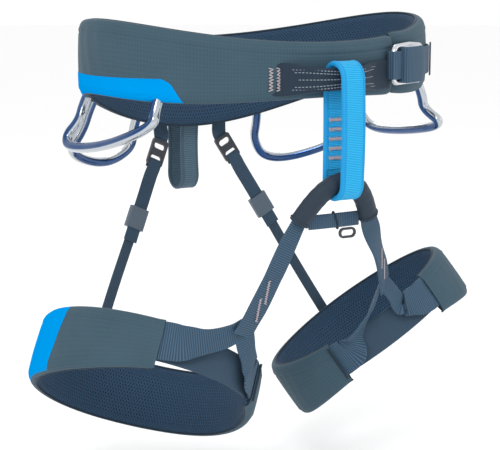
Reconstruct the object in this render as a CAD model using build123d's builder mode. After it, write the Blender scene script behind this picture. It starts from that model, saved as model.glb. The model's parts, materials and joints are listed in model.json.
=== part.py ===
"""Climbing harness as worn: waist belt, belay loop, leg loops, risers and gear loops.

Millimetres. +X is the wearer's left, -Y the front, +Z up, and the origin is the centre of the waist
opening. Round the belt and each leg pad, places are given by an angle: 0 is the middle of the back,
90 the outer side and 180 the front, counted round by the right (RIGHT) or by the left (LEFT).
"""
import os
from math import cos, radians, sin

from build123d import *

os.makedirs("parts", exist_ok=True)

RIGHT, LEFT = -1, 1
SIDES = {"right": RIGHT, "left": LEFT}
GAP = 0.3  # air between a piece and its neighbour

# ---- waist belt: half widths across and front to back, edge heights from back to front
BELT = (144.0, 105.5)
BELT_TOP = (15.0, 25.5, 36.5, 28.2, 19.4)
BELT_BOTTOM = (-59.3, -34.5, -16.2, -19.6, -16.4)
STATIONS = (1.03, 0.71, 0.0, -0.71, -1.03)  # where those heights apply, as shares of the half depth
SKIN = 1.1
BELT_FOAM = 6.6
BELT_THICK = 2 * (SKIN + GAP) + BELT_FOAM
BINDING = 1.6
BELT_ENDS = (-158.5, 201.0)  # the belt is open at the left front, under the buckle
UNDERLAP = (-170.0, -134.0)
PANEL_TOP = -3.0
PANEL_ARC = (62.0, 128.0)

# ---- tie-in loop and belay loop
TIE_Z = -4.0
TIE_THICK = 4.0
TIE_WIDE = 24.0
TIE_NARROW = 16.4
TIE_STAND_OFF = -119.2
TIE_TACKS = ((-46.0, -105.3, -17.0), (-51.5, -103.6, -17.0), (42.5, -106.6, 13.0), (47.0, -105.4, 13.0))
TIE_TACK = (2.2, 0.8, 16.0)
BELAY_BOTTOM_Z = -79.0
BELAY_WIDE = 20.0
BELAY_THICK = 4.0
BELAY_BEND = 9.2  # inside radius of its two bends
BELAY_TACKS = (-34.0, -41.0, -48.0, -55.0, -62.0)
BELAY_TACK = (BELAY_WIDE - 4.0, 0.6, 2.4)

# ---- bridge that joins the leg loops, through the belay loop
BRIDGE_R = 8.0
BRIDGE_TOP_X = 17.0
BRIDGE_END = (31.0, -108.0, -108.0)
BRIDGE_WALL = 1.4
BRIDGE_BEND = 9.0
STOW_RING_X = 12.2
CROSS_Z = (-114.5, -103.0)

# ---- leg loops: centre, slopes of the ring's plane (up per mm outwards and forwards), turn in plan,
# half widths across and front to back, lie and fork of the front webbing, lower end of the riser
LEGS = {
    RIGHT: dict(centre=(-108.4, -15.0, -231.0), out_up=0.513, front_up=0.341, turn=11.7,
                size=(84.5, 89.0), across=(0.8, 0.0, 0.6), fork=(-72.0, -98.0, -187.0),
                riser_at=353.0),
    LEFT: dict(centre=(111.5, -3.3, -227.5), out_up=0.580, front_up=0.393, turn=-20.7,
               size=(88.0, 65.0), across=(-0.61, -0.41, -0.69), fork=(80.0, -64.0, -173.0),
               riser_at=352.0),
}
LEG_TOP = (25.0, 24.0, 23.0, 21.0, 20.0)
LEG_BOTTOM = (-27.0, -26.0, -24.0, -15.0, -8.0)
LEG_FOAM = 6.0
LEG_THICK = 2 * (SKIN + GAP) + LEG_FOAM
LEG_PAD_ENDS = (-148.0, 145.0)
LEG_ACCENT = (60.0, 88.0)
WEB_THICK = 2.0
RING_STRAP = (-8.0, 18.0)
RING_STRAP_INSET = 5.0
BRANCH_WIDE = 26.0
BRANCH_CLEAR = 9.0  # degrees between a pad's end and the branch sewn beside it
BRANCH_BENDS = {"outer": 166.0, "inner": 197.0}
FRONT_WIDE = 16.0
FRONT_THICK = 2.6

# ---- risers at the back
RISER_TOP = (28.5, 105.0, -68.0)
RISER_WIDE = 12.5
ELASTIC_WIDE = 9.5
RISER_STRAP = (24.0, 92.0)
TAB_WIDE = 13.0
ADJUSTER = (17.0, 18.0, 5.6)
ADJUSTER_AT = 71.0
HOOK = (15.0, 23.0, 4.0)

# ---- haul loop
HAUL_WIDE = 17.0
HAUL_THICK = 2.4
HAUL_Y = (106.1, 132.1)
HAUL_Z = (-101.0, -52.0)

# ---- gear loops: ends under the belt, outward tilt, outline as (along, down) from the first end
TUBE_R = 4.0
REAR_ENDS = ((115.5, 63.0, -35.0), (59.9, 95.9, -57.0))
FRONT_ENDS = ((126.5, 50.0, -30.0), (120.5, -57.7, -26.0))
GEAR_LOOPS = {
    "gear_loop_right_rear": (RIGHT, REAR_ENDS, 15.0,
                             ((0, 0), (3, 17), (-4, 39), (48, 37), (77, 16), (68, 0))),
    "gear_loop_left_rear": (LEFT, REAR_ENDS, 15.0,
                            ((0, 0), (2, 20), (4, 43), (50, 43), (73, 34), (76, 15), (68, 0))),
    "gear_loop_right_front": (RIGHT, FRONT_ENDS, 25.0,
                              ((0, 0), (3, 13), (-9, 26), (2, 36), (56, 31), (112, 12), (106, 0))),
    "gear_loop_left_front": (LEFT, FRONT_ENDS, 25.0,
                             ((0, 0), (0, 20), (8, 36), (60, 35), (123, 26), (101, 12), (107, 0))),
}
TUBE_BEND = 7.0

# ---- waist buckle
BUCKLE_AT = 209.5  # angle round the belt, by the right
BUCKLE_Z = 3.0
BUCKLE = (46.0, 31.0, 4.0)
BUCKLE_BAR = 5.0
BUCKLE_PROUD = 6.0
SLIDER = (25.0, 28.0, 3.0)
WEBBING_HALF = 11.0
KEEPER_ARC = (118.0, 124.0)


def ring_place(size, angle, side, proud=0.0):
    """Plan position at an angle round an oval, on its outside or proud of it."""
    return (
        side * (size[0] + proud) * sin(radians(angle)),
        (size[1] + proud) * cos(radians(angle)),
    )


def band(plane, size, inset, thick, top, bottom, side=RIGHT, arc=(0.0, 360.0)):
    """Part of an oval band, with the given edge heights from back to front."""
    tall = 90.0
    outer = (size[0] - inset, size[1] - inset)
    with BuildPart() as piece:
        with BuildSketch(plane.offset(-tall)):
            Ellipse(*outer)
            Ellipse(outer[0] - thick, outer[1] - thick, mode=Mode.SUBTRACT)
        extrude(amount=2 * tall)
        with BuildSketch(Plane(plane.origin, x_dir=plane.y_dir, z_dir=plane.x_dir)):
            with BuildLine():
                upper = Spline(*[(size[1] * s, z) for s, z in zip(STATIONS, top)])
                lower = Spline(*[(size[1] * s, z) for s, z in zip(STATIONS, bottom)])
                Line(upper @ 0, lower @ 0)
                Line(upper @ 1, lower @ 1)
            make_face()
        extrude(amount=1.3 * size[0], both=True, mode=Mode.INTERSECT)
        if arc[1] - arc[0] < 360.0:
            steps = 8
            turns = [arc[0] + (arc[1] - arc[0]) * i / steps for i in range(steps + 1)]
            fan = [ring_place(size, a, side, proud=size[0]) for a in turns]
            with BuildSketch(plane.offset(-tall)):
                with BuildLine():
                    Polyline((0, 0), *fan, close=True)
                make_face()
            extrude(amount=2 * tall, mode=Mode.INTERSECT)
    return piece


def strap(sections, thick=WEB_THICK):
    """Flat webbing through places, each (point, width direction, width)."""
    points = [Vector(*place) for place, _, _ in sections]
    with BuildPart() as piece:
        for i, (_, across, wide) in enumerate(sections):
            along = (points[min(i + 1, len(points) - 1)] - points[max(i - 1, 0)]).normalized()
            flat = Vector(*across)
            flat = (flat - along * flat.dot(along)).normalized()
            with BuildSketch(Plane(points[i], x_dir=flat, z_dir=along)):
                Rectangle(wide, thick)
        loft(ruled=True)
    return piece


def save(piece, name):
    piece.part.label = name
    export_step(piece.part, f"parts/{name}.step")


def raised(heights, by):
    return tuple(z + by for z in heights)


# ======================================================================= waist belt
inside = {"belt_shell": (0.0, SKIN), "belt_foam": (SKIN + GAP, BELT_FOAM),
          "belt_lining": (BELT_THICK - SKIN, SKIN)}
for name, (inset, thick) in inside.items():
    layer = band(Plane.XY, BELT, inset, thick, BELT_TOP, BELT_BOTTOM, RIGHT, BELT_ENDS)
    save(layer, name)

top_binding = band(Plane.XY, BELT, 0.0, BELT_THICK, raised(BELT_TOP, GAP + BINDING),
                   raised(BELT_TOP, GAP), RIGHT, BELT_ENDS)
save(top_binding, "belt_top_binding")
bottom_binding = band(Plane.XY, BELT, 0.0, BELT_THICK, raised(BELT_BOTTOM, -GAP),
                      raised(BELT_BOTTOM, -GAP - BINDING), RIGHT, BELT_ENDS)
save(bottom_binding, "belt_bottom_binding")

underlap = band(Plane.XY, BELT, BELT_THICK + GAP, 3.0, raised(BELT_TOP, -4.0),
                raised(BELT_BOTTOM, 4.0), RIGHT, UNDERLAP)
save(underlap, "belt_underlap")

for name, side in SIDES.items():
    panel = band(Plane.XY, BELT, -1.2, 1.0, (PANEL_TOP,) * 5, raised(BELT_BOTTOM, 0.5), side,
                 PANEL_ARC)
    save(panel, f"hip_panel_{name}")

# load webbing: out from the belt at the tie-in loop, on to the buckle, and its free tail
buckle_web = ((WEBBING_HALF + BUCKLE_Z,) * 5, (-WEBBING_HALF + BUCKLE_Z,) * 5)
buckle_strap = band(Plane.XY, BELT, -2.2, 1.9, *buckle_web, RIGHT, (204.5, 220.0))
save(buckle_strap, "buckle_strap")
waist_tail = band(Plane.XY, BELT, -3.5, 1.9, *buckle_web, LEFT, (92.0, 138.0))
save(waist_tail, "waist_strap_tail")

tie_in = [
    ((-54, -100.2, TIE_Z), (0, 0, 1), TIE_WIDE),
    ((-42, -103.8, TIE_Z), (0, 0, 1), TIE_WIDE),
    ((-18, -117.4, TIE_Z), (0, 0, 1), TIE_NARROW),
    ((-12, TIE_STAND_OFF, TIE_Z), (0, 0, 1), TIE_NARROW),
    ((12, TIE_STAND_OFF, TIE_Z), (0, 0, 1), TIE_NARROW),
    ((18, -117.4, TIE_Z), (0, 0, 1), TIE_NARROW),
    ((38, -105.1, TIE_Z), (0, 0, 1), TIE_WIDE - 2),
    ((50, -102.0, TIE_Z), (0, 0, 1), TIE_WIDE - 2),
]
save(strap(tie_in, TIE_THICK), "tie_in_strap")

with BuildPart() as tie_in_tacks:
    for x, y, turn in TIE_TACKS:
        turned = (cos(radians(turn)), sin(radians(turn)), 0)
        with BuildSketch(Plane((x, y, TIE_Z - TIE_TACK[2] / 2), x_dir=turned, z_dir=(0, 0, 1))):
            Rectangle(TIE_TACK[0], TIE_TACK[1])
        extrude(amount=TIE_TACK[2])
save(tie_in_tacks, "tie_in_bar_tacks")

# ======================================================================= belay loop
def stadium(bend, low, high):
    """Closed loop outline in the YZ plane, by its bend radius and the heights of the two bends."""
    SlotOverall(high - low + 2 * bend, 2 * bend, rotation=90)


belay_plane = Plane((0, TIE_STAND_OFF, (TIE_Z + BELAY_BOTTOM_Z) / 2), x_dir=(0, 1, 0), z_dir=(1, 0, 0))
with BuildPart() as belay_loop:
    with BuildSketch(belay_plane.offset(-BELAY_WIDE / 2)):
        stadium(BELAY_BEND + BELAY_THICK, BELAY_BOTTOM_Z, TIE_Z)
        with BuildSketch(mode=Mode.SUBTRACT):
            stadium(BELAY_BEND, BELAY_BOTTOM_Z, TIE_Z)
    extrude(amount=BELAY_WIDE)
save(belay_loop, "belay_loop")

with BuildPart() as belay_tacks:
    back_face = TIE_STAND_OFF + BELAY_BEND
    for z in BELAY_TACKS:
        with BuildSketch(Plane((0, back_face - 0.4, z), x_dir=(1, 0, 0), z_dir=(0, 0, 1))):
            Rectangle(BELAY_TACK[0], BELAY_TACK[1])
        extrude(amount=BELAY_TACK[2])
save(belay_tacks, "belay_bar_tacks")

# ======================================================================= leg bridge
end_x, end_y, end_z = BRIDGE_END
arch = [(-end_x, end_y, end_z), (-BRIDGE_TOP_X, TIE_STAND_OFF, BELAY_BOTTOM_Z),
        (BRIDGE_TOP_X, TIE_STAND_OFF, BELAY_BOTTOM_Z), (end_x, end_y, end_z)]
with BuildPart() as bridge_sleeve:
    with BuildLine():
        route = FilletPolyline(*arch, radius=BRIDGE_BEND)
    with BuildSketch(Plane(route @ 0, z_dir=route % 0)):
        Circle(BRIDGE_R)
        Circle(BRIDGE_R - BRIDGE_WALL, mode=Mode.SUBTRACT)
    sweep()
save(bridge_sleeve, "bridge_sleeve")
with BuildPart() as bridge_core:
    with BuildLine():
        route = FilletPolyline(*arch, radius=BRIDGE_BEND)
    with BuildSketch(Plane(route @ 0, z_dir=route % 0)):
        Circle(BRIDGE_R - BRIDGE_WALL - GAP)
    sweep()
save(bridge_core, "bridge_webbing")

cross_x = end_x - BRIDGE_R - 3.5
cross_mid = sum(CROSS_Z) / 2
cross = [((-cross_x, end_y, cross_mid), (0, 0, 1), CROSS_Z[1] - CROSS_Z[0]),
         ((cross_x, end_y, cross_mid), (0, 0, 1), CROSS_Z[1] - CROSS_Z[0])]
save(strap(cross), "cross_strap")
with BuildPart() as cross_wrap:
    with BuildSketch(Plane((0, end_y, cross_mid), z_dir=(1, 0, 0), x_dir=(0, 1, 0))):
        RectangleRounded(5.0, CROSS_Z[1] - CROSS_Z[0] + 3.0, 1.2)
        RectangleRounded(3.2, CROSS_Z[1] - CROSS_Z[0] + 1.0, 0.6, mode=Mode.SUBTRACT)
    extrude(amount=4.0)
save(cross_wrap, "cross_strap_wrap")
with BuildPart() as stow_ring:
    with BuildSketch(Plane((STOW_RING_X, end_y, CROSS_Z[0] - 4.6), x_dir=(1, 0, 0), z_dir=(0, 1, 0))):
        SlotOverall(15.0, 8.0)
        SlotOverall(11.4, 4.4, mode=Mode.SUBTRACT)
    extrude(amount=1.1, both=True)
    fillet(stow_ring.edges(), 0.45)
save(stow_ring, "stow_ring")


# ======================================================================= leg loops
def leg_plane(leg, side):
    turn = radians(leg["turn"])
    tilted = (-side * leg["out_up"], leg["front_up"], 1)
    return Plane(leg["centre"], x_dir=(cos(turn), sin(turn), 0), z_dir=tilted)


def on_leg(plane, leg, side, angle, rise=0.0, proud=0.0):
    return plane.from_local_coords((*ring_place(leg["size"], angle, side, proud), rise))


for name, side in SIDES.items():
    leg = LEGS[side]
    plane = leg_plane(leg, side)
    up = plane.z_dir
    layers = {"shell": (0.0, SKIN), "foam": (SKIN + GAP, LEG_FOAM), "lining": (LEG_THICK - SKIN, SKIN)}
    for layer, (inset, thick) in layers.items():
        piece = band(plane, leg["size"], inset, thick, LEG_TOP, LEG_BOTTOM, side, LEG_PAD_ENDS)
        save(piece, f"leg_{layer}_{name}")
    accent = band(plane, leg["size"], -1.1, 0.9, raised(LEG_TOP, -0.5), raised(LEG_BOTTOM, 0.5),
                  side, LEG_ACCENT)
    save(accent, f"leg_accent_{name}")

    ring_arc = (LEG_PAD_ENDS[1] + 0.5, 360.0 + LEG_PAD_ENDS[0] - 0.5)
    ring_strap = band(plane, leg["size"], RING_STRAP_INSET, WEB_THICK, (RING_STRAP[1],) * 5,
                      (RING_STRAP[0],) * 5, side, ring_arc)
    save(ring_strap, f"leg_ring_strap_{name}")

    fork = Vector(*leg["fork"])
    start = Vector(side * end_x, end_y, end_z)
    run = fork - start
    fold = Vector(*leg["across"]).normalized()
    front = [(start + run * 0.06, (-side, 0, 0), FRONT_WIDE), (start + run * 0.5, fold, FRONT_WIDE + 1),
             (start + run * 0.97, fold, FRONT_WIDE + 6)]
    save(strap(front, FRONT_THICK), f"leg_front_strap_{name}")

    branch_ends = {"outer": ring_arc[0] + BRANCH_CLEAR, "inner": ring_arc[1] - BRANCH_CLEAR}
    for branch, near in branch_ends.items():
        joined = on_leg(plane, leg, side, near, 8.0, -0.6)
        middle = on_leg(plane, leg, side, BRANCH_BENDS[branch], 14.0, 1.5)
        sections = [(joined, up, BRANCH_WIDE), ((joined + middle) / 2, up, BRANCH_WIDE - 4),
                    (middle, up + fold, 18.0), (middle + (fork - middle) * 0.7, fold, 16.0)]
        save(strap(sections), f"leg_{branch}_branch_{name}")

    seam = on_leg(plane, leg, side, ring_arc[1] + 1.0, RING_STRAP[0], 1.6)
    with BuildPart() as piping:
        with BuildSketch(Plane(seam, z_dir=up)):
            Circle(1.1)
        extrude(amount=RING_STRAP[1] - RING_STRAP[0])
    save(piping, f"leg_piping_{name}")

    facing = run.cross(fold).normalized()
    if facing.Y > 0:
        facing = -facing
    along = run.normalized()
    with BuildPart() as tacks:
        for share in (0.62, 0.78):
            centre = start + run * share + facing * 1.7
            with BuildSketch(Plane(centre, x_dir=(along * 2 + fold).normalized(), z_dir=facing)):
                Rectangle(17, 1.8)
            extrude(amount=0.5)
    save(tacks, f"leg_bar_tacks_{name}")

# ======================================================================= risers
for name, side in SIDES.items():
    leg = LEGS[side]
    plane = leg_plane(leg, side)
    top = Vector(side * RISER_TOP[0], RISER_TOP[1], RISER_TOP[2])
    foot = on_leg(plane, leg, side, leg["riser_at"], 12.0, 4.0)
    down = (foot - top).normalized()
    length = (foot - top).length
    rear = (Vector(0, 1, 0) - down * down.Y).normalized()
    across = down.cross(rear)

    tab = [((top.X, 106.8, -44), (1, 0, 0), TAB_WIDE), ((top.X, 106.8, -57), (1, 0, 0), TAB_WIDE),
           ((top.X, top.Y + 0.5, top.Z + 2.5), (1, 0, 0), TAB_WIDE)]
    save(strap(tab), f"riser_tab_{name}")

    hook_plane = Plane(top + down * (HOOK[1] / 2 + 0.8), x_dir=across, z_dir=rear)
    with BuildPart() as hook:
        with BuildSketch(hook_plane.offset(-HOOK[2] / 2)):
            RectangleRounded(HOOK[0], HOOK[1], 2.5)
            with Locations((0, 5.5), (0, -5.5)):
                SlotOverall(11.0, 5.0, mode=Mode.SUBTRACT)
        extrude(amount=HOOK[2])
        outer_edges = hook.edges().filter_by(GeomType.LINE).group_by(Axis(hook_plane.origin, rear))
        fillet(outer_edges[0] + outer_edges[-1], 0.8)
    save(hook, f"riser_buckle_{name}")

    riser = [(top + down * end, across, RISER_WIDE) for end in RISER_STRAP]
    save(strap(riser), f"riser_strap_{name}")
    elastic = [(top + down * (RISER_STRAP[1] + GAP), across, ELASTIC_WIDE), (foot, across, ELASTIC_WIDE)]
    save(strap(elastic, 1.6), f"riser_elastic_{name}")

    wide, high, deep = ADJUSTER
    with BuildPart() as adjuster:
        with BuildSketch(Plane(top + down * (ADJUSTER_AT - high / 2), x_dir=across, z_dir=down)):
            RectangleRounded(wide, deep, 1.4)
            Rectangle(RISER_WIDE + 1.0, WEB_THICK + 0.8, mode=Mode.SUBTRACT)
        extrude(amount=high)
    save(adjuster, f"riser_adjuster_{name}")

    patch = band(plane, leg["size"], -2.0, 1.7, (4.0,) * 5, (-8.0,) * 5, side,
                 (leg["riser_at"] - 365.0, leg["riser_at"] - 355.0))
    save(patch, f"leg_riser_patch_{name}")

# ======================================================================= haul loop
haul_mid = (HAUL_Y[0] + HAUL_Y[1]) / 2
haul_bend = (HAUL_Y[1] - HAUL_Y[0]) / 2
haul_plane = Plane((0, haul_mid, sum(HAUL_Z) / 2), x_dir=(0, 1, 0), z_dir=(1, 0, 0))
with BuildPart() as haul_loop:
    with BuildSketch(haul_plane.offset(-HAUL_WIDE / 2)):
        stadium(haul_bend, HAUL_Z[0], HAUL_Z[1])
        with BuildSketch(mode=Mode.SUBTRACT):
            stadium(haul_bend - HAUL_THICK, HAUL_Z[0], HAUL_Z[1])
    extrude(amount=HAUL_WIDE)
save(haul_loop, "haul_loop")


# ======================================================================= gear loops
def loop_plane(side, ends, tilt):
    """Plane of a gear loop: x from its first end to its second, y down and outwards."""
    first, second = [Vector(side * x, y, z) for x, y, z in ends]
    along = (second - first).normalized()
    middle = (first + second) / 2
    outward = Vector(middle.X / BELT[0] ** 2, middle.Y / BELT[1] ** 2, 0).normalized()
    hang = outward * sin(radians(tilt)) - Vector(0, 0, 1) * cos(radians(tilt))
    return Plane(first, x_dir=along, z_dir=along.cross(hang))


for name, (side, ends, tilt, outline) in GEAR_LOOPS.items():
    plane = loop_plane(side, ends, tilt)
    with BuildPart() as gear_loop:
        with BuildLine():
            route = FilletPolyline(*[plane.from_local_coords((*p, 0)) for p in outline], radius=TUBE_BEND)
        with BuildSketch(Plane(route @ 0, z_dir=route % 0)):
            Circle(TUBE_R)
        sweep()
    save(gear_loop, name)

# ======================================================================= waist buckle
bx, by = ring_place(BELT, BUCKLE_AT, RIGHT)
outward = Vector(bx / BELT[0] ** 2, by / BELT[1] ** 2, 0).normalized()
tangent = Vector(-outward.Y, outward.X, 0)
buckle_plane = Plane(Vector(bx, by, BUCKLE_Z) + outward * BUCKLE_PROUD, x_dir=tangent, z_dir=outward)
with BuildPart() as buckle_frame:
    with BuildSketch(buckle_plane.offset(-BUCKLE[2] / 2)):
        RectangleRounded(BUCKLE[0], BUCKLE[1], 6)
        RectangleRounded(BUCKLE[0] - 2 * BUCKLE_BAR, BUCKLE[1] - 2 * BUCKLE_BAR, 3, mode=Mode.SUBTRACT)
    extrude(amount=BUCKLE[2])
    fillet(buckle_frame.edges(), 1.4)
save(buckle_frame, "buckle_frame")
with BuildPart() as buckle_slider:
    with BuildSketch(buckle_plane.offset(BUCKLE[2] / 2 + 0.5)):
        RectangleRounded(SLIDER[0], SLIDER[1], 4)
        RectangleRounded(SLIDER[0] - 8, SLIDER[1] - 8, 2, mode=Mode.SUBTRACT)
    extrude(amount=SLIDER[2])
    fillet(buckle_slider.edges(), 1.0)
save(buckle_slider, "buckle_slider")

keeper_web = (raised(buckle_web[0], 2.0), raised(buckle_web[1], -2.0))
keeper = band(Plane.XY, BELT, -5.1, 1.2, *keeper_web, LEFT, KEEPER_ARC)
save(keeper, "tail_keeper")
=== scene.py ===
"""Looks of a climbing harness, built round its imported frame.

Lengths are millimetres and angles degrees until a mesh is made. +X is the wearer's left, -Y the front
and +Z up. Round a pad, 0 is the back, 90 its outer side and 180 the front.
"""

import json
from math import cos, pi, radians, sin

import bmesh
import bpy
import numpy as np
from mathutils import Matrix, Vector


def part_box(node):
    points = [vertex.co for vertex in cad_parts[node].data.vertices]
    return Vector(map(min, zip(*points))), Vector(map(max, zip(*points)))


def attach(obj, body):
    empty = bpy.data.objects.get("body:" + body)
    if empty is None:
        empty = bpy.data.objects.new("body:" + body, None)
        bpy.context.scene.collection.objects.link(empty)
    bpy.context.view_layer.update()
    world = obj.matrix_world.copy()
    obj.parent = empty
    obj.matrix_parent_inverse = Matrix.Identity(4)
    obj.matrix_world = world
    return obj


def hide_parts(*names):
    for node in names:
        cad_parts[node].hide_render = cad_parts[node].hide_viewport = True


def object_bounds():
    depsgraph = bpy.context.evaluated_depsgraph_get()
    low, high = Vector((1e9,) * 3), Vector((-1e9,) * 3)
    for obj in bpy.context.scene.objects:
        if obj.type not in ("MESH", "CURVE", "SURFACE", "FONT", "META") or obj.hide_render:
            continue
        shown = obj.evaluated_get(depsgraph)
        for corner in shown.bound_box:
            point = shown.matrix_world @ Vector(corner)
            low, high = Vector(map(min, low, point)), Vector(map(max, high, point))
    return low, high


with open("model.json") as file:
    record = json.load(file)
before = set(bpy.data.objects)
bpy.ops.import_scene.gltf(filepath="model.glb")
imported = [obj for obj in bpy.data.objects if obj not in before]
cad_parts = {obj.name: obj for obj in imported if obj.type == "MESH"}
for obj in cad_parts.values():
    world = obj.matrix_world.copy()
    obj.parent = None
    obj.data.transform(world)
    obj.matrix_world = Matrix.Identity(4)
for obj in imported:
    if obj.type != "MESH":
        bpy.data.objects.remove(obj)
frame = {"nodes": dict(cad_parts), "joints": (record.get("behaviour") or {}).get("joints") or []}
cad_low, cad_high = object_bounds()

MM = 0.001
RIGHT, LEFT = -1, 1
SIDES = {"right": RIGHT, "left": LEFT}
UP = np.array((0.0, 0.0, 1.0))
FRONT = np.array((0.0, -1.0, 0.0))
GEAR_RADIUS = 3.9
joints = {joint["name"]: joint for joint in frame["joints"]}


def joint_place(name):
    return np.array(joints[name]["pos_m"]) / MM


def joint_axis(name):
    return np.array(joints[name]["axis"])


# ============================================================ camera, light and floor
def look(obj, place, target):
    obj.location = place
    obj.rotation_mode = "QUATERNION"
    obj.rotation_quaternion = (Vector(target) - Vector(place)).to_track_quat("-Z", "Y")


def add_camera():
    camera = bpy.data.objects.new("camera", bpy.data.cameras.new("camera"))
    bpy.context.scene.collection.objects.link(camera)
    camera.data.sensor_width = 36.0
    camera.data.lens = 108.0
    look(camera, (-0.6257, -1.0025, 0.0799), (-0.0043, 0.00265, -0.1285))
    bpy.context.scene.camera = camera


def add_light(name, place, size, power):
    light = bpy.data.objects.new(name, bpy.data.lights.new(name, "AREA"))
    bpy.context.scene.collection.objects.link(light)
    light.data.shape = "DISK"
    light.data.size = size
    light.data.energy = power
    look(light, place, (0.0, 0.0, -0.12))


def add_studio():
    scene = bpy.context.scene
    scene.view_settings.view_transform = "Standard"
    world = bpy.data.worlds.new("studio")
    scene.world = world
    world.use_nodes = True
    background = world.node_tree.nodes["Background"]
    background.inputs["Color"].default_value = (1.0, 1.0, 1.0, 1.0)
    background.inputs["Strength"].default_value = 1.0
    add_light("key_light", (-1.3, -1.4, 1.5), 0.7, 15.0)
    add_light("fill_light", (1.5, -1.0, 0.5), 1.2, 2.0)
    add_light("back_light", (0.6, 1.6, 1.0), 0.8, 5.0)


def add_floor():
    centre = (cad_low + cad_high) / 2
    bpy.ops.mesh.primitive_circle_add(vertices=96, radius=9.0, fill_type="NGON",
                                      location=(centre.x, centre.y, cad_low.z - 0.05))
    floor = bpy.context.object
    floor.name = "floor"
    floor.data.materials.append(plain_material("floor_paint", (0.97, 0.97, 0.97), 0.9))


# ============================================================ materials
def linear(red, green, blue):
    """Colour given as 0-255 display values, as linear light."""
    parts = np.array((red, green, blue)) / 255.0
    light = np.where(parts <= 0.04045, parts / 12.92, ((parts + 0.055) / 1.055) ** 2.4)
    return (*light.tolist(), 1.0)


class Shader:
    """A material's node tree, with short calls for the patterns that the cloths share."""

    def __init__(self, name):
        self.material = bpy.data.materials.new(name)
        self.material.use_nodes = True
        self.tree = self.material.node_tree
        self.surface = self.tree.nodes["Principled BSDF"]
        self.uv = None

    def node(self, kind, **settings):
        made = self.tree.nodes.new("ShaderNode" + kind)
        for key, value in settings.items():
            setattr(made, key, value)
        return made

    def link(self, source, target):
        self.tree.links.new(source, target)

    def math(self, operation, first, second=0.0):
        made = self.node("Math", operation=operation)
        for socket, value in zip(made.inputs, (first, second)):
            if isinstance(value, (int, float)):
                socket.default_value = value
            else:
                self.link(value, socket)
        return made.outputs[0]

    def cloth_uv(self):
        """Along the cloth and across it, in metres."""
        if self.uv is None:
            coordinates = self.node("UVMap")
            parts = self.node("SeparateXYZ")
            self.link(coordinates.outputs[0], parts.inputs[0])
            self.uv = (parts.outputs[0], parts.outputs[1])
        return self.uv

    def wave(self, along, pitch):
        """From 0 to 1 and back once every pitch millimetres."""
        turned = self.math("SINE", self.math("MULTIPLY", along, 2 * pi / (pitch * MM)))
        return self.math("ADD", self.math("MULTIPLY", turned, 0.5), 0.5)

    def dots(self, pitch, radius):
        """1 in dots set in offset rows, 0 between them."""
        coordinates = self.node("UVMap")
        turn = self.node("Mapping")
        turn.inputs["Rotation"].default_value = (0.0, 0.0, radians(45.0))
        turn.inputs["Scale"].default_value = (1 / (pitch * MM), 1 / (pitch * MM), 1.0)
        self.link(coordinates.outputs[0], turn.inputs[0])
        cells = self.node("TexVoronoi", voronoi_dimensions="2D")
        cells.inputs["Scale"].default_value = 1.0
        cells.inputs["Randomness"].default_value = 0.0
        self.link(turn.outputs[0], cells.inputs["Vector"])
        ramp = self.node("MapRange", interpolation_type="SMOOTHSTEP")
        self.link(cells.outputs["Distance"], ramp.inputs["Value"])
        ramp.inputs["From Min"].default_value = radius - 0.10
        ramp.inputs["From Max"].default_value = radius + 0.10
        ramp.inputs["To Min"].default_value = 1.0
        ramp.inputs["To Max"].default_value = 0.0
        return ramp.outputs["Result"]

    def noise(self, scale, detail=3.0):
        coordinates = self.node("TexCoord")
        made = self.node("TexNoise")
        made.inputs["Scale"].default_value = scale
        made.inputs["Detail"].default_value = detail
        self.link(coordinates.outputs["Object"], made.inputs["Vector"])
        return made.outputs["Fac"]

    def mix(self, share, first, second):
        made = self.node("Mix", data_type="RGBA")
        sockets = [s for s in made.inputs if s.type == "RGBA"]
        for socket, value in zip(sockets, (first, second)):
            if isinstance(value, tuple):
                socket.default_value = value
            else:
                self.link(value, socket)
        if isinstance(share, (int, float)):
            made.inputs["Factor"].default_value = share
        else:
            self.link(share, made.inputs["Factor"])
        return [s for s in made.outputs if s.type == "RGBA"][0]

    def paint(self, colour):
        self.link(colour, self.surface.inputs["Base Color"])

    def bump(self, height, depth, strength=1.0):
        made = self.node("Bump")
        made.inputs["Distance"].default_value = depth * MM
        made.inputs["Strength"].default_value = strength
        self.link(height, made.inputs["Height"])
        before = self.surface.inputs["Normal"]
        if before.is_linked:
            self.link(before.links[0].from_socket, made.inputs["Normal"])
        self.link(made.outputs[0], before)

    def rough(self, low, high, share):
        made = self.node("MapRange")
        self.link(share, made.inputs["Value"])
        made.inputs["To Min"].default_value = low
        made.inputs["To Max"].default_value = high
        self.link(made.outputs["Result"], self.surface.inputs["Roughness"])

    def sheen(self, weight, roughness=0.4):
        """Fibre fuzz, and the weak mirror glance of matt cloth."""
        self.surface.inputs["Specular IOR Level"].default_value = 0.18
        self.surface.inputs["Sheen Weight"].default_value = weight
        self.surface.inputs["Sheen Roughness"].default_value = roughness


def plain_material(name, colour, roughness):
    shader = Shader(name)
    shader.surface.inputs["Base Color"].default_value = (*colour, 1.0)
    shader.surface.inputs["Roughness"].default_value = roughness
    return shader.material


def worn(shader, colour, light, amount=0.5):
    """Slow drift of tone over the cloth, and a paler tone where it is rubbed at the edges."""
    drift = shader.mix(shader.math("MULTIPLY", shader.noise(38.0, 4.0), amount), colour, light)
    geometry = shader.node("NewGeometry")
    edge = shader.node("MapRange")
    shader.link(geometry.outputs["Pointiness"], edge.inputs["Value"])
    edge.inputs["From Min"].default_value = 0.52
    edge.inputs["From Max"].default_value = 0.64
    edge.inputs["To Max"].default_value = 0.35
    shader.paint(shader.mix(edge.outputs["Result"], drift, light))


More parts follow.
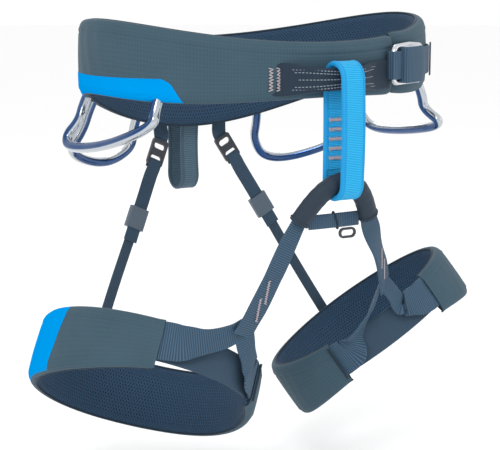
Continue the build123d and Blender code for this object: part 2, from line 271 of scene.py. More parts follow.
def shell_material():
    """Ripstop: a fine plain weave with a raised grid of thicker threads."""
    shader = Shader("shell_ripstop")
    along, across = shader.cloth_uv()
    weave = shader.math("MULTIPLY", shader.wave(along, 0.7), shader.wave(across, 0.7))
    grid = shader.math("MAXIMUM", shader.math("POWER", shader.wave(along, 2.4), 10.0),
                       shader.math("POWER", shader.wave(across, 2.4), 10.0))
    height = shader.math("ADD", shader.math("MULTIPLY", weave, 0.35), grid)
    base = shader.mix(height, linear(53, 75, 88), linear(62, 86, 99))
    worn(shader, base, linear(76, 101, 114), 0.35)
    shader.bump(height, 0.07)
    shader.bump(shader.noise(90.0, 5.0), 0.5, 0.35)
    shader.rough(0.62, 0.78, height)
    shader.sheen(0.04)
    return shader.material


def lining_material():
    """Spacer mesh with small round holes in offset rows."""
    shader = Shader("lining_mesh")
    along, across = shader.cloth_uv()
    holes = shader.dots(1.9, 0.24)
    knit = shader.math("MULTIPLY", shader.wave(along, 0.6), shader.wave(across, 0.6))
    base = shader.mix(knit, linear(42, 67, 92), linear(62, 92, 120))
    holed = shader.mix(holes, base, linear(17, 30, 46))
    worn(shader, holed, linear(62, 90, 116), 0.18)
    shader.bump(shader.math("SUBTRACT", shader.math("MULTIPLY", knit, 0.3), holes), 0.5)
    shader.rough(0.7, 0.9, knit)
    shader.sheen(0.04)
    return shader.material


def webbing_material(name, dark, light, pitch=1.7, depth=0.28, border=None):
    """Webbing with ribs across it; border leaves smooth selvedges on a strap that many mm wide."""
    shader, dark, light = Shader(name), linear(*dark), linear(*light)
    along, across = shader.cloth_uv()
    rib = shader.wave(along, pitch)
    twill = shader.wave(shader.math("ADD", along, across), 0.55)
    fine = shader.wave(across, 0.5)
    height = shader.math("ADD", shader.math("MULTIPLY", rib, 0.8), shader.math("MULTIPLY", fine, 0.2))
    if border:
        middle = shader.math("LESS_THAN", shader.math("ABSOLUTE", across), (border / 2 - 3.0) * MM)
        height = shader.math("MULTIPLY", height, shader.math("ADD", shader.math("MULTIPLY", middle, 0.75),
                                                             0.25))
    shade = shader.math("ADD", shader.math("MULTIPLY", height, 0.85), shader.math("MULTIPLY", twill, 0.15))
    worn(shader, shader.mix(shade, dark, light), light, 0.2)
    shader.bump(height, depth)
    shader.rough(0.5, 0.75, height)
    shader.sheen(0.03)
    return shader.material


def smooth_cloth_material(name, dark, light, roughness=0.55, pitch=0.6, glance=0.18):
    """Close plain weave that reads as smooth cloth; glance is the strength of its mirror reflection."""
    shader, dark, light = Shader(name), linear(*dark), linear(*light)
    along, across = shader.cloth_uv()
    weave = shader.math("MULTIPLY", shader.wave(along, pitch), shader.wave(across, pitch))
    worn(shader, shader.mix(weave, dark, light), light, 0.3)
    shader.bump(weave, 0.08)
    shader.bump(shader.noise(140.0, 4.0), 0.4, 0.4)
    shader.rough(roughness, roughness + 0.15, weave)
    shader.sheen(0.03 if glance else 0.0)
    shader.surface.inputs["Specular IOR Level"].default_value = glance
    return shader.material


def thread_material(name, colour, light):
    shader, colour, light = Shader(name), linear(*colour), linear(*light)
    along, across = shader.cloth_uv()
    lay = shader.wave(shader.math("ADD", along, across), 0.5)
    worn(shader, shader.mix(lay, colour, light), light, 0.3)
    shader.bump(lay, 0.08)
    shader.rough(0.45, 0.6, lay)
    return shader.material


def metal_material():
    """Forged, tumbled metal with fine scratches."""
    shader = Shader("buckle_metal")
    scratches = shader.noise(900.0, 6.0)
    worn(shader, shader.mix(scratches, linear(176, 180, 186), linear(214, 217, 221)), linear(235, 237, 240))
    shader.surface.inputs["Metallic"].default_value = 1.0
    shader.rough(0.18, 0.36, scratches)
    shader.bump(shader.noise(260.0, 4.0), 0.05, 0.4)
    return shader.material


def plastic_material(name, dark, light, rubbed):
    """Moulded acetal with a fine spark texture."""
    shader = Shader(name)
    grain = shader.noise(1600.0, 5.0)
    worn(shader, shader.mix(grain, linear(*dark), linear(*light)), linear(*rubbed), 0.2)
    shader.rough(0.3, 0.48, grain)
    shader.bump(grain, 0.05, 0.5)
    return shader.material


def tube_material():
    """Clear tube with a bright core: silver, with blue bands along it."""
    shader = Shader("gear_tube")
    along, across = shader.cloth_uv()
    half_round = GEAR_RADIUS * pi
    band = shader.wave(shader.math("ADD", across, half_round / 4 * MM), half_round)
    edge = shader.node("MapRange", interpolation_type="SMOOTHSTEP")
    shader.link(band, edge.inputs["Value"])
    edge.inputs["From Min"].default_value = 0.40
    edge.inputs["From Max"].default_value = 0.60
    streak = shader.math("MULTIPLY", edge.outputs["Result"],
                         shader.math("ADD", shader.math("MULTIPLY", shader.noise(30.0), 0.3), 0.8))
    shader.paint(shader.mix(streak, linear(186, 192, 198), linear(8, 66, 122)))
    shader.surface.inputs["Metallic"].default_value = 0.9
    shader.rough(0.12, 0.24, shader.noise(200.0))
    shader.surface.inputs["Coat Weight"].default_value = 0.25
    shader.surface.inputs["Coat Roughness"].default_value = 0.06
    return shader.material


MATERIALS = {
    "shell": shell_material(),
    "lining": lining_material(),
    "core": smooth_cloth_material("foam_edge", (38, 44, 52), (58, 66, 76), 0.8, 1.3),
    "binding": smooth_cloth_material("edge_binding", (26, 38, 50), (48, 64, 78)),
    "accent": smooth_cloth_material("accent_cloth", (0, 138, 214), (0, 156, 232), 0.5, 0.9, 0.0),
    "webbing": webbing_material("ribbed_webbing", (26, 44, 60), (78, 106, 130)),
    "flat": webbing_material("flat_webbing", (40, 58, 75), (62, 84, 103), 0.9, 0.12),
    "tie_in": webbing_material("tie_in_webbing", (25, 37, 50), (46, 61, 76), 1.0, 0.15),
    "belay": webbing_material("belay_webbing", (0, 118, 190), (56, 198, 246), 1.25, 0.25, 20.0),
    "haul": webbing_material("haul_webbing", (50, 70, 86), (100, 126, 142), 1.6, 0.3, 17.0),
    "sleeve": smooth_cloth_material("sleeve_cloth", (36, 48, 60), (56, 70, 84), 0.5, 0.8),
    "elastic": webbing_material("knitted_elastic", (42, 58, 73), (62, 80, 97), 0.8, 0.1),
    "thread": thread_material("bar_tack_thread", (150, 134, 140), (206, 194, 198)),
    "stitch": thread_material("stitch_thread", (120, 134, 148), (170, 182, 192)),
    "metal": metal_material(),
    "plastic": plastic_material("black_plastic", (28, 32, 38), (44, 50, 58), (92, 100, 110)),
    "slate_plastic": plastic_material("slate_plastic", (44, 58, 72), (64, 80, 95),
                                      (104, 120, 134)),
    "tube": tube_material(),
}


# ============================================================ mesh building
def unit(v):
    return v / np.linalg.norm(v)


def curve_through(keys, step=2.0):
    """Smooth rows through keys, whose first three columns are a place, about every step mm."""
    keys = np.array(keys, float)
    gaps = np.linalg.norm(np.diff(keys[:, :3], axis=0), axis=1)
    at = np.concatenate([[0.0], np.cumsum(gaps)])
    slope = np.gradient(keys, at, axis=0)
    rows = []
    for i, gap in enumerate(gaps):
        count = max(2, round(gap / step))
        for s in np.arange(count) / count:
            rows.append(keys[i] * (2 * s**3 - 3 * s**2 + 1) + keys[i + 1] * (3 * s**2 - 2 * s**3)
                        + gap * slope[i] * (s**3 - 2 * s**2 + s) + gap * slope[i + 1] * (s**3 - s**2))
    return np.array(rows + [keys[-1]])


def rounded(points, radius, step=1.5):
    """Straight runs joined by arcs of one radius."""
    points = [np.array(p, float) for p in points]
    path = [points[0]]
    for before, corner, after in zip(points, points[1:], points[2:]):
        back, on = unit(before - corner), unit(after - corner)
        half = np.arccos(np.clip(back @ on, -1, 1)) / 2
        reach = radius / np.tan(half)
        centre = corner + unit(back + on) * radius / np.sin(half)
        start, end = corner + back * reach, corner + on * reach
        count = max(3, round(radius * (pi - 2 * half) / step))
        first, last = start - centre, end - centre
        turn = np.arccos(np.clip(unit(first) @ unit(last), -1, 1))
        for s in np.arange(count + 1) / count:
            path.append(centre + (first * sin((1 - s) * turn) + last * sin(s * turn)) / sin(turn))
    return np.array(path + [points[-1]])


def smooth_line(points):
    """Line of a smooth spline that has those points, in mm, as its control points."""
    curve = bpy.data.curves.new("route", "CURVE")
    curve.dimensions = "3D"
    curve.resolution_u = 24
    spline = curve.splines.new("NURBS")
    spline.points.add(len(points) - 1)
    for spot, place in zip(spline.points, points):
        spot.co = (*(np.array(place) * MM).tolist(), 1.0)
    spline.order_u = 3
    spline.use_endpoint_u = True
    holder = bpy.data.objects.new("route", curve)
    mesh = bpy.data.meshes.new_from_object(holder)
    path = np.array([vertex.co for vertex in mesh.vertices], float) / MM
    bpy.data.meshes.remove(mesh)
    bpy.data.objects.remove(holder)
    bpy.data.curves.remove(curve)
    return path


def evenly(path, step):
    """The same line with points about every step mm."""
    path = np.array(path)
    at = np.concatenate([[0.0], np.cumsum(np.linalg.norm(np.diff(path, axis=0), axis=1))])
    wanted = np.linspace(0, at[-1], max(2, round(at[-1] / step)) + 1)
    return np.stack([np.interp(wanted, at, path[:, i]) for i in range(path.shape[1])], axis=1)


def travel(path, closed=False):
    steps = np.linalg.norm(np.diff(path, axis=0), axis=1)
    if closed:
        steps = np.append(steps, np.linalg.norm(path[0] - path[-1]))
    return np.concatenate([[0.0], np.cumsum(steps)])


def directions(path, closed=False):
    if closed:
        ahead = np.roll(path, -1, axis=0) - np.roll(path, 1, axis=0)
    else:
        ahead = np.gradient(path, axis=0)
    return ahead / np.linalg.norm(ahead, axis=1)[:, None]


def make(name, places, faces, corners, material):
    """A smooth mesh piece from places in mm, faces, and each face corner's cloth coordinates in mm."""
    mesh = bpy.data.meshes.new(name)
    mesh.from_pydata((np.asarray(places) * MM).tolist(), [], faces)
    layer = mesh.uv_layers.new(name="cloth")
    layer.data.foreach_set("uv", (np.asarray(corners) * MM).ravel())
    mesh.materials.append(MATERIALS[material])
    piece = bpy.data.objects.new(name, mesh)
    bpy.context.scene.collection.objects.link(piece)
    shape = bmesh.new()
    shape.from_mesh(mesh)
    bmesh.ops.recalc_face_normals(shape, faces=shape.faces)
    shape.to_mesh(mesh)
    shape.free()
    mesh.shade_smooth()
    cut = {key for face in mesh.polygons if face.loop_total > 4 for key in face.edge_keys}
    for edge in mesh.edges:
        edge.use_edge_sharp = edge.key in cut
    return piece


def skin(name, rings, along, around, material, closed=False):
    """A closed skin over rings of points; along has a value for each ring, around one more than a ring."""
    rings = np.asarray(rings)
    count, size = rings.shape[:2]
    faces, corners = [], []
    for i in range(count if closed else count - 1):
        for j in range(size):
            a, b = (i + 1) % count, (j + 1) % size
            faces.append((i * size + j, i * size + b, a * size + b, a * size + j))
            corners += [(along[i], around[j]), (along[i], around[j + 1]),
                        (along[i + 1], around[j + 1]), (along[i + 1], around[j])]
    if not closed:
        for i in (0, count - 1):
            order = range(size) if i else range(size - 1, -1, -1)
            faces.append(tuple(i * size + j for j in order))
            corners += [(along[i], around[j]) for j in order]
    return make(name, rings.reshape(-1, 3), faces, corners, material)


def flat_section(width, thick, swell=0.0):
    """Rounded flat outline as (across, outwards); swell thickens its two edges by that much."""
    edge = thick / 2
    across = np.linspace(-1, 1, 13) * (width / 2 - edge)
    lip = swell * np.clip((np.abs(across) - width / 2 + 4.0) / 2.0, 0, 1)
    turn = np.radians((65.0, 30.0, 0.0, -30.0, -65.0))
    out = edge + lip
    right = np.stack([width / 2 - edge + edge * np.cos(turn), out[-1] * np.sin(turn)], axis=1)
    face = np.stack([across, out], axis=1)
    back = np.stack([across[::-1], -out[::-1]], axis=1)
    left = np.stack([-right[:, 0], -right[:, 1]], axis=1)
    return np.concatenate([face, right, back, left])


def ribbon(name, keys, thick, material, swell=0.0, closed=False, step=2.0, ready=False):
    """Webbing through keys, rows of place, direction across it, and width."""
    rows = np.array([(*p, *a, w) for p, a, w in keys]) if not ready else keys
    if not ready:
        rows = curve_through(rows, step)
    places, across, widths = rows[:, :3], rows[:, 3:6], rows[:, 6]
    ahead = directions(places, closed)
    rings = []
    for place, on, side, width in zip(places, ahead, across, widths):
        flat = unit(side - on * (side @ on))
        out = np.cross(on, flat)
        outline = flat_section(width, thick, swell)
        rings.append(place + outline[:, :1] * flat + outline[:, 1:] * out)
    around = flat_section(widths.mean(), thick, swell)[:, 0]
    return skin(name, rings, travel(places, closed), np.append(around, around[0]), material, closed)


def tube(name, path, radius, material, sides=16, flatten=1.0, across=None, closed=False):
    """Round or oval tube along a path; radius is a number or one for each point."""
    path = np.array(path)
    radii = np.broadcast_to(np.array(radius, float), len(path))
    ahead = directions(path, closed)
    flat = np.array(across if across is not None else np.cross(ahead[0], UP + 0.01 * FRONT), float)
    rings = []
    turns = np.arange(sides) / sides * 2 * pi
    for place, on, r in zip(path, ahead, radii):
        flat = unit(flat - on * (flat @ on))
        out = np.cross(on, flat)
        rings.append(place + r * (np.cos(turns)[:, None] * flat + flatten * np.sin(turns)[:, None] * out))
    around = np.arange(sides + 1) / sides * 2 * pi * radii.mean()
    return skin(name, rings, travel(path, closed), around, material, closed)


def finish(piece, body, slot, *nodes):
    """The piece moves with a body and stands for those CAD nodes, which it hides; slot is not used."""
    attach(piece, body)
    if nodes:
        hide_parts(*nodes)
    return piece


def join(name, pieces):
    """Several pieces of one material as one piece."""
    made = bmesh.new()
    for piece in pieces:
        made.from_mesh(piece.data)
    mesh = bpy.data.meshes.new(name)
    made.to_mesh(mesh)
    made.free()
    mesh.materials.append(pieces[0].data.materials[0])
    for piece in pieces:
        bpy.data.objects.remove(piece)
    joined = bpy.data.objects.new(name, mesh)
    bpy.context.scene.collection.objects.link(joined)
    mesh.shade_smooth()
    return joined


def bar_tack(name, start, end, facing, tall, count, radius=0.38):
    """Zigzag of thread from start to end, on a face that looks along facing."""
    start, end = np.array(start, float), np.array(end, float)
    on = unit(end - start)
    side = unit(np.cross(facing, on))
    shares = np.arange(2 * count + 1) / (2 * count)
    zigs = [start + (end - start) * s + side * tall / 2 * (-1) ** i for i, s in enumerate(shares)]
    lifted = [z + unit(facing) * (0.25 if i % 2 else 0.1) for i, z in enumerate(zigs)]
    return tube(name, evenly(lifted, tall / 3), radius, "thread", sides=6)


def stitch_row(name, path, facing, pitch=2.6, share=0.62, radius=0.3, material="stitch"):
    """Separate stitches along a path that lies on a face."""
    facing = unit(np.array(facing, float))
    line = evenly(path, pitch)
    dashes = []
    for start, end in zip(line, line[1:]):
        gone = (end - start) * share
        middle = start + gone / 2 + facing * 0.22
        places = [start - facing * 0.1, start + gone * 0.2 + facing * 0.15, middle,
                  start + gone * 0.8 + facing * 0.15, start + gone - facing * 0.1]
        dashes.append(tube(name + "_dash", places, radius, material, sides=5))
    return join(name, dashes)


# ============================================================ pads: waist belt and leg loops
STATIONS = (1.03, 0.71, 0.0, -0.71, -1.03)  # shares of the half depth where edge heights are given
NOSE = 6.0  # height over which a pad's edge rounds off
SHELL_THICK = 1.0


class Pad:
    """An oval padded band. n is outwards from its outer face, z is along its height."""

    def __init__(self, centre, size, side, turn, tilt, top, bottom, thick, ends, crown):
        self.centre, self.size, self.side = np.array(centre, float), size, side
        self.z = unit(np.array(tilt, float))
        x = np.array((cos(radians(turn)), sin(radians(turn)), 0.0))
        self.x = unit(x - self.z * (x @ self.z))
        self.y = np.cross(self.z, self.x)
        self.top = np.polynomial.Polynomial.fit(STATIONS, top, 4)
        self.bottom = np.polynomial.Polynomial.fit(STATIONS, bottom, 4)
        self.thick, self.ends, self.crown = thick, ends, crown
        self.step_in = None
        self.flush_ends = False  # cut straight through, with the outer face flush

    def at(self, angle, z=0.0, n=0.0):
        a = np.radians(angle)
        return (self.centre + self.x * self.side * (self.size[0] + n) * np.sin(a)
                + self.y * (self.size[1] + n) * np.cos(a) + self.z * z)

    def out(self, angle):
        a = radians(angle)
        return unit(self.x * self.side * sin(a) / self.size[0] + self.y * cos(a) / self.size[1])

    def heights(self, angle):
        share = cos(radians(angle))
        return self.bottom(share), self.top(share)

    def relief(self, angle, z):
        """Slow unevenness of laminated foam, and slight creases where the band turns tightly."""
        a = radians(angle)
        slow = 0.35 * np.sin(5 * a + z / 19.0) * np.sin(3 * a - z / 27.0 + 1.0)
        crease = 0.22 * np.sin(a * 41.0 + 1.3 * np.sin(z / 8.0)) * abs(sin(a)) ** 6
        return slow + crease

    def outline(self, angle):
        """Closed outline at an angle, as (n, z) rows: outer face upwards, top, inner face, bottom."""
        low, high = self.heights(angle)
        low, high = low - 1.5, high + 1.5
        middle, half = (low + high) / 2, (high - low) / 2
        flat = half - NOSE
        near_top = flat - np.array((3.6, 2.8, 2.0, 1.0, 0.0))
        face = np.concatenate([np.linspace(-flat, flat - 5.0, 13), near_top])
        turn = np.radians(np.linspace(0, 180, 15))[1:-1]
        r = self.thick / 2
        groove = 0.45 * np.exp(-((face - flat + 2.8) / 0.7) ** 2)
        crown = self.crown * np.cos(face / half * pi / 2) ** 0.7
        outer = np.stack([crown - groove + self.relief(angle, face), face], axis=1)
        top = np.stack([-r + r * np.cos(turn), flat + NOSE * np.sin(turn)], axis=1)
        inner = np.stack([-2 * r + 0.25 * self.crown * np.cos(face / half * pi / 2), face], axis=1)[::-1]
        bottom = np.stack([top[::-1, 0], -top[::-1, 1]], axis=1)
        loop = np.concatenate([outer, top, inner, bottom])
        gap = min(angle - self.ends[0], self.ends[1] - angle)
        close = np.sqrt(max(0.10, 1 - max(0.0, 1 - gap / 4.0) ** 2)) if gap < 4.0 else 1.0
        if self.ends[1] - self.ends[0] >= 360:
            close = 1.0
        if self.flush_ends:
            loop[:, 0] *= max(close, 0.5)
            loop[:, 1] += middle
        else:
            loop[:, 0] = (loop[:, 0] + r) * close - r
            loop[:, 1] = middle + loop[:, 1] * (0.9 + 0.1 * close)
        if self.step_in:
            loop = self.step_in(angle, loop)
        return loop

    def angles(self, low, high, step=2.0):
        mean = (self.size[0] + self.size[1]) / 2
        count = max(4, round(radians(high - low) * mean / step))
        return np.linspace(low, high, count + 1)

    def along(self, angles):
        places = np.array([self.at(a) for a in angles])
        return travel(places)


OUTER, NOSE_POINTS = 18, 13  # points of an outline on each face, and on each edge


def inset(loop, depth):
    """A closed outline moved inwards by depth."""
    ahead = np.roll(loop, -1, axis=0) - np.roll(loop, 1, axis=0)
    ahead /= np.linalg.norm(ahead, axis=1)[:, None]
    return loop + depth * np.stack([-ahead[:, 1], ahead[:, 0]], axis=1)


def pad_layer(name, pad, low, high, first, last, depth, thick, material):
    """A layer of a pad over part of its outline, from point first to last, depth below its surface."""
    angles = pad.angles(low, high)
    rings, around = [], None
    for angle in angles:
        loop = pad.outline(angle)
        size = len(loop)
        pick = [i % size for i in range(first, last + 1)]
        outer, inner = inset(loop, depth)[pick], inset(loop, depth + thick)[pick]
        section = np.concatenate([outer, inner[::-1]])
        rings.append([pad.at(angle, z, n) for n, z in section])
        if around is None:
            walk = travel(outer)
            around = np.concatenate([walk, walk[::-1], walk[:1]])
    return skin(name, rings, pad.along(angles), around, material)


def pad_core(name, pad, low, high):
    angles = pad.angles(low, high, 4.0)
    rings = []
    for angle in angles:
        loop = inset(pad.outline(angle), SHELL_THICK + 0.15)
        rings.append([pad.at(angle, z, n) for n, z in loop])
    walk = travel(loop)
    return skin(name, rings, pad.along(angles), np.append(walk, walk[-1]), "core")


def pad_edge(name, pad, low, high, point):
    """Thin rolled binding where the shell's lip meets the lining."""
    angles = pad.angles(low, high)
    path = []
    for angle in angles:
        n, z = pad.outline(angle)[point]
        path.append(pad.at(angle, z, n - 0.1))
    return tube(name, path, 0.85, "binding", sides=8)


def patch(name, pad, span, rows, material, proud=0.5):
    """Cloth laid on a pad's outer face. span(r, angle share) gives angle and height for r from 0 to 1."""
    shares = np.linspace(0, 1, 41)
    levels = np.linspace(0, 1, rows)
    rings = []
    for share in shares:
        face, back = [], []
        for level in levels:
            angle, z = span(level, share, pad)
            loop = pad.outline(angle)
            side = np.concatenate([loop[-NOSE_POINTS // 2:], loop[:OUTER + NOSE_POINTS // 2 + 1]])
            n = np.interp(z, side[:, 1], side[:, 0])
            rim = min(share, 1 - share, level, 1 - level) < 0.01
            face.append(pad.at(angle, z, n + (0.15 if rim else proud)))
            back.append(pad.at(angle, z, n - 0.3))
        rings.append(np.array(face + back[::-1]))
    walk = travel(rings[20][:rows])
    middle = np.array([ring[rows // 2] for ring in rings])
    around = np.concatenate([walk, walk[::-1], walk[:1]])
    return skin(name, rings, travel(middle), around, material)


def dress_pad(prefix, pad, body, parts, low, high):
    """Shell, lining, core and bindings of one pad; parts are the CAD nodes they stand for."""
    lip = 9
    shell = pad_layer(f"{prefix}_shell_skin", pad, low, high, -lip, OUTER + lip - 1, 0.0, SHELL_THICK,
                      "shell")
    finish(shell, body, "shell_fabric", parts["shell"])
    lining = pad_layer(f"{prefix}_lining_skin", pad, low, high, OUTER + lip - 3,
                       2 * OUTER + 2 * NOSE_POINTS - lip + 2, 0.25, 0.8, "lining")
    finish(lining, body, "lining_mesh", parts["lining"])
    core = pad_core(f"{prefix}_foam_core", pad, low + 0.6, high - 0.6)
    finish(core, body, "foam", parts["foam"])
    edges = []
    for place, point in (("top", OUTER + lip - 1), ("bottom", 2 * OUTER + 2 * NOSE_POINTS - lip)):
        edges.append(pad_edge(f"{prefix}_{place}_binding_roll", pad, low, high, point))
    return edges


BELT_SIZE = (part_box("belt_shell")[1].x / MM, 105.5)
BELT_TOP = (15.0, 25.5, 36.5, 28.2, 19.4)
BELT_BOTTOM = (-59.3, -34.5, -16.2, -19.6, -16.4)
BELT_ENDS = (-153.0, 206.5)
BELT_THICK, BELT_CROWN = 9.4, 1.2
ALL_ROUND = (-360, 360)


def belt_pad():
    pad = Pad((0, 0, 0), BELT_SIZE, RIGHT, 0.0, UP, BELT_TOP, BELT_BOTTOM, BELT_THICK, BELT_ENDS, BELT_CROWN)

    def left_end_under(angle, loop):
        """The left end lies a little higher and further in than the right end that covers it."""
        share = np.clip((-140.0 - angle) / 12.0, 0, 1) ** 2
        loop[:, 0] -= 1.8 * share
        loop[:, 1] += 1.6 * share
        return loop

    pad.step_in = left_end_under
    return pad


def build_belt(pad):
    parts = {"shell": "belt_shell", "lining": "belt_lining", "foam": "belt_foam"}
    top, bottom = dress_pad("belt", pad, "waist_belt", parts, *BELT_ENDS)
    finish(top, "waist_belt", "binding", "belt_top_binding")
    finish(bottom, "waist_belt", "binding", "belt_bottom_binding")

    under = Pad((0, 0, 0), [s - 9.9 for s in BELT_SIZE], RIGHT, 0.0, UP, [t - 6 for t in BELT_TOP],
                [b + 6 for b in BELT_BOTTOM], 3.0, (-170.0, -134.0), 0.2)
    angles = under.angles(-170.0, -134.0)
    rings = [[under.at(a, z, n) for n, z in under.outline(a)] for a in angles]
    walk = travel(under.outline(-150.0))
    piece = skin("belt_underlap_flap", rings, under.along(angles), np.append(walk, walk[-1]), "lining")
    finish(piece, "waist_belt", "lining_mesh", "belt_underlap")

    for name, side in SIDES.items():
        build_hip_panel(name, side, pad)


def belt_surface(side):
    """The belt's outer face all the way round, with angles counted towards one side."""
    return Pad((0, 0, 0), BELT_SIZE, side, 0.0, UP, BELT_TOP, BELT_BOTTOM, BELT_THICK, ALL_ROUND, BELT_CROWN)


def build_hip_panel(name, side, belt):
    """Blue cloth on the hip, from the lower edge up, its front end slanting and rounded."""
    pad = belt_surface(side)
    if side == RIGHT:
        pad.relief = belt.relief
    else:
        pad.relief = lambda angle, z: belt.relief(-angle, z)

    def span(level, share, on):
        high = -3.0
        corner = 2.45 * (max(0.0, level - 0.72) / 0.28) ** 2
        front = (132.5 if side == RIGHT else 111.0) - 5.0 * level - corner
        back = 62.0 + 2.0 * level
        angle = back + (front - back) * share
        low = on.outline(angle)[:, 1].min() + 0.8
        return angle, low + (high - low) * level

    piece = patch(f"hip_panel_cloth_{name}", pad, span, 15, "accent")
    finish(piece, "waist_belt", "accent_fabric", f"hip_panel_{name}")


LEGS = {
    "right": dict(centre=(-108.4, -15.0, -231.0), out_up=0.513, front_up=0.341, turn=11.7,
                  size=(84.5, 89.0), across=(0.8, 0.0, 0.6), fork=(-72.0, -98.0, -187.0),
                  riser_at=353.0),
    "left": dict(centre=(111.5, -3.3, -227.5), out_up=0.580, front_up=0.393, turn=-20.7,
                 size=(88.0, 65.0), across=(-0.61, -0.41, -0.69), fork=(80.0, -64.0, -173.0),
                 riser_at=352.0),
}
LEG_TOP = (25.0, 24.0, 23.0, 21.0, 20.0)
LEG_BOTTOM = (-27.0, -26.0, -24.0, -15.0, -8.0)
LEG_ENDS = (-148.0, 145.0)
LEG_THICK, LEG_CROWN = 8.8, 0.8
BRIDGE_END = (31.0, -108.0, -108.0)


def leg_pad(name):
    leg, side = LEGS[name], SIDES[name]
    tilt = (-side * leg["out_up"], leg["front_up"], 1.0)
    pad = Pad(leg["centre"], leg["size"], side, leg["turn"], tilt, LEG_TOP, LEG_BOTTOM, LEG_THICK, LEG_ENDS,
              LEG_CROWN)
    pad.flush_ends = True
    return pad


def build_leg(name):
    side, leg, pad, body = SIDES[name], LEGS[name], leg_pad(name), f"leg_{name}"
    parts = {key: f"leg_{key}_{name}" for key in ("shell", "lining", "foam")}
    edges = dress_pad(f"leg_{name}", pad, body, parts, *LEG_ENDS)
    finish(join(f"leg_{name}_edge_binding", edges), body, "binding")

    def accent_span(level, share, on):
        back, front = 50.0, 85.0 + 6.0 * level
        angle = back + (front - back) * share
        low, high = on.outline(angle)[:, 1].min() + 0.8, on.outline(angle)[:, 1].max() - 0.8
        return angle, low + (high - low) * level

    accent = patch(f"leg_accent_cloth_{name}", pad, accent_span, 21, "accent")
    finish(accent, body, "accent_fabric", f"leg_accent_{name}")

    strap = [(pad.at(a, 5.0, -6.0), pad.z, 26.0) for a in np.linspace(143.0, 214.0, 15)]
    finish(ribbon(f"leg_ring_webbing_{name}", strap, 1.9, "flat"), body, "webbing", f"leg_ring_strap_{name}")

    build_front_webbing(name, side, leg, pad, body)

    seam_path = []
    for z in np.linspace(-9.0, 20.0, 12):
        seam_path.append(pad.at(212.6, z, 0.9))
    finish(tube(f"leg_seam_piping_{name}", seam_path, 1.0, "binding", sides=8), body, "binding",
           f"leg_piping_{name}")
    patch_at = leg["riser_at"] - 360.0
    foot = [(pad.at(patch_at, z, 1.4), pad.x, 15.0) for z in (-8.0, -2.0, 4.0, 13.0)]
    finish(ribbon(f"riser_foot_patch_{name}", foot, 1.6, "flat"), body, "webbing",
           f"leg_riser_patch_{name}")


def build_front_webbing(name, side, leg, pad, body):
    """Front webbing from the bridge down to the fork, and its two branches to the pad's ends."""
    fork = np.array(leg["fork"])
    start = np.array((side * BRIDGE_END[0], BRIDGE_END[1], BRIDGE_END[2]))
    run = fork - start
    fold = unit(np.array(leg["across"]))
    facing = unit(np.cross(run, fold))
    if facing[1] > 0:
        facing = -facing
    slack = facing * 1.5
    front = [(start - run * 0.05, (-side, 0, 0), 12.0), (start + run * 0.12, (-side, 0, 0), 14.5),
             (start + run * 0.5 + slack, fold, 17.0), (start + run * 0.8 + slack, fold, 20.0),
             (fork + run * 0.02, fold, 22.0)]
    finish(ribbon(f"leg_front_webbing_{name}", front, 2.6, "webbing"), body, "webbing",
           f"leg_front_strap_{name}")

    ends = {"outer": (LEG_ENDS[1], 1, 166.0), "inner": (360.0 + LEG_ENDS[0], -1, 197.0)}
    for branch, (seam, on, bend) in ends.items():
        middle = pad.at(bend, 14.0, 1.5)
        joined = pad.at(seam + 9.5 * on, 8.0, -0.2)
        twist = pad.z + fold
        keys = [(pad.at(seam - 1.0 * on, 6.5, -2.6), pad.z, 29.0),
                (pad.at(seam + 4.0 * on, 7.0, -1.0), pad.z, 28.5), (joined, pad.z, 27.0),
                ((joined + middle) / 2, pad.z, 23.0), (middle, twist, 18.5),
                (middle + (fork - middle) * 0.6, fold, 16.5), (fork - run * 0.03 - facing * 1.6, fold, 17.0)]
        finish(ribbon(f"leg_{branch}_branch_webbing_{name}", keys, 2.0, "webbing"), body, "webbing",
               f"leg_{branch}_branch_{name}")

    tacks = []
    along = unit(run)
    for share in (0.62, 0.78):
        centre = start + run * share + slack + facing * 1.4
        lean = unit(along * 2 + fold) * 9.0
        tacks.append(bar_tack(f"tack_{share}", centre - lean, centre + lean, facing, 2.6, 10, 0.38))
    finish(join(f"leg_fork_tacks_{name}", tacks), body, "thread", f"leg_bar_tacks_{name}")


# ============================================================ tie-in webbing and belay loop
TIE_Z = joint_place("belay_swing")[2]
TIE_Y = joint_place("belay_swing")[1]
BELAY_LOW = joint_place("leg_lift")[2]
BELAY_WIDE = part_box("belay_loop")[1].x * 2 / MM


def build_tie_in():
    spots = ((-53, -94.5, 24), (-46, -98.5, 24), (-38, -104.9, 23), (-30, -110.2, 20), (-18, -117.2, 17),
             (-8, TIE_Y, 16.4), (8, TIE_Y, 16.4), (18, -117.2, 17), (28, -110.6, 20), (38, -105.6, 22),
             (52, -101.0, 22))
    keys = [((x, y, TIE_Z), UP, wide) for x, y, wide in spots]
    piece = ribbon("tie_in_webbing", keys, 4.0, "tie_in", swell=0.3)
    finish(piece, "waist_belt", "webbing", "tie_in_strap")
    route = curve_through([p for p, _, _ in keys], 1.0)
    rows = []
    for height, low, high in ((7.2, -38, 36), (5.2, -36, 34), (-5.2, -36, 34), (-7.2, -38, 36), (0, -34, 32)):
        line = np.array([p + UP * height + FRONT * 2.15 for p in route if low < p[0] < high])
        line[:, 2] += -np.sign(height) * 2.0 * (1 - np.clip(np.abs(line[:, 0]) / 30.0, 0, 1))
        rows.append(stitch_row(f"row_{height}_{low}", line, FRONT))
    finish(join("tie_in_stitching", rows), "waist_belt", "thread")


